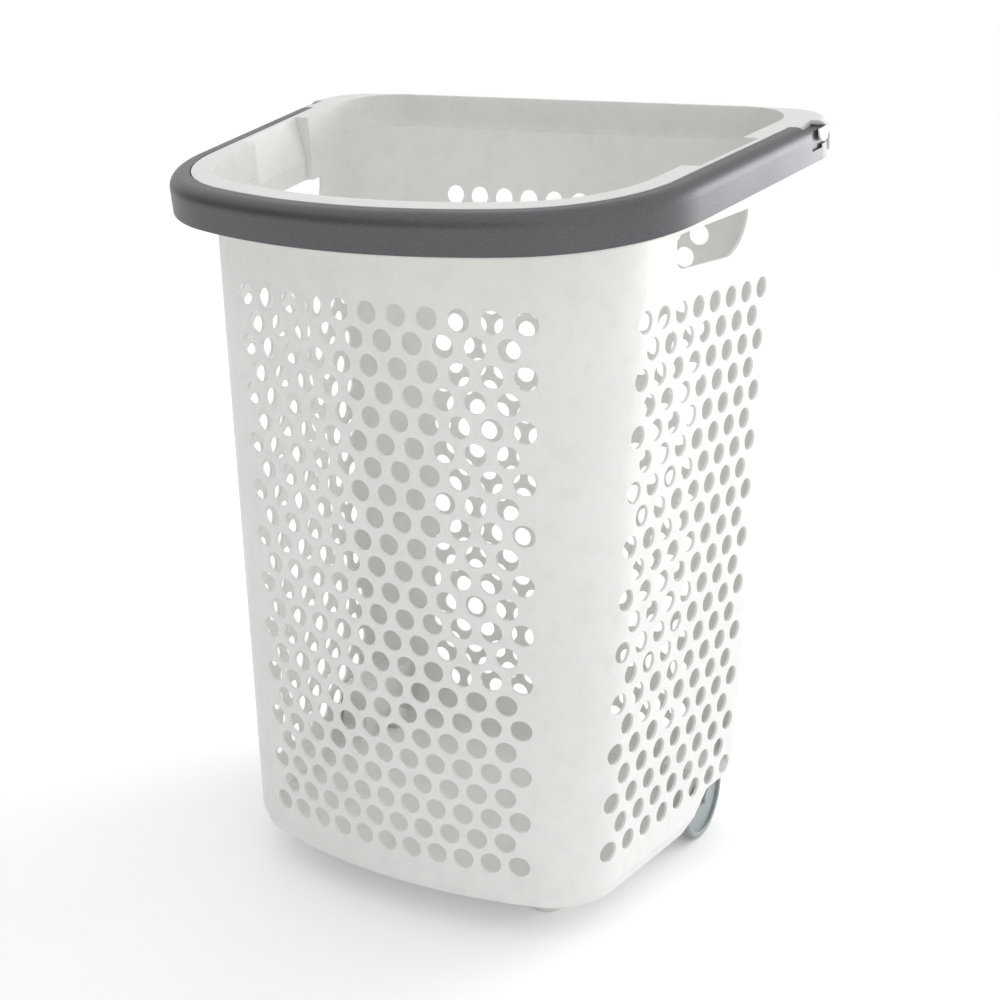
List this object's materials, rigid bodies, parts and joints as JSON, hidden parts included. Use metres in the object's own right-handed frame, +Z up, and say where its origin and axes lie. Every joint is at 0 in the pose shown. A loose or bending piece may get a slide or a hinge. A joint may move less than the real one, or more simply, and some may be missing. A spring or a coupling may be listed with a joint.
{
  "type": "wheeled laundry hamper",
  "caption": "Tall D-shaped perforated plastic laundry hamper with a wrap-around swing-up pull handle and two rear wheels.",
  "frame": {"origin": "on the floor, on the plane of symmetry, under the middle of the tub's base", "axes": "+Z up; the bowed front faces -Y; the flat back, the handle pivots and the wheels are towards +Y"},
  "size_m": [0.5268, 0.3999, 0.6775],
  "materials": {
    "tub_plastic": "satin, slightly translucent",
    "handle_plastic": "silver-grey plastic with a fine metallic fleck",
    "wheel_plastic": "satin grey",
    "axle_steel": "plain drawn pin",
    "cap_plastic": "satin grey"
  },
  "bodies": {
    "tub": {"tub": "tub_plastic", "axle_right": "axle_steel", "axle_left": "axle_steel", "axle_cap_right": "cap_plastic", "axle_cap_left": "cap_plastic"},
    "handle": {"handle": "handle_plastic"},
    "wheel_right": {"wheel_right": "wheel_plastic"},
    "wheel_left": {"wheel_left": "wheel_plastic"}
  },
  "joints": [
    {"name": "handle_swing", "type": "hinge", "parent": "tub", "child": "handle", "pos_m": [0, 0.11878, 0.65549], "axis": [-1, 0, 0], "range_deg": [0, 95]},
    {"name": "wheel_right_spin", "type": "hinge", "parent": "tub", "child": "wheel_right", "pos_m": [0.18, 0.102, 0.041], "axis": [1, 0, 0], "continuous": true},
    {"name": "wheel_left_spin", "type": "hinge", "parent": "tub", "child": "wheel_left", "pos_m": [-0.18, 0.102, 0.041], "axis": [1, 0, 0], "continuous": true}
  ]
}
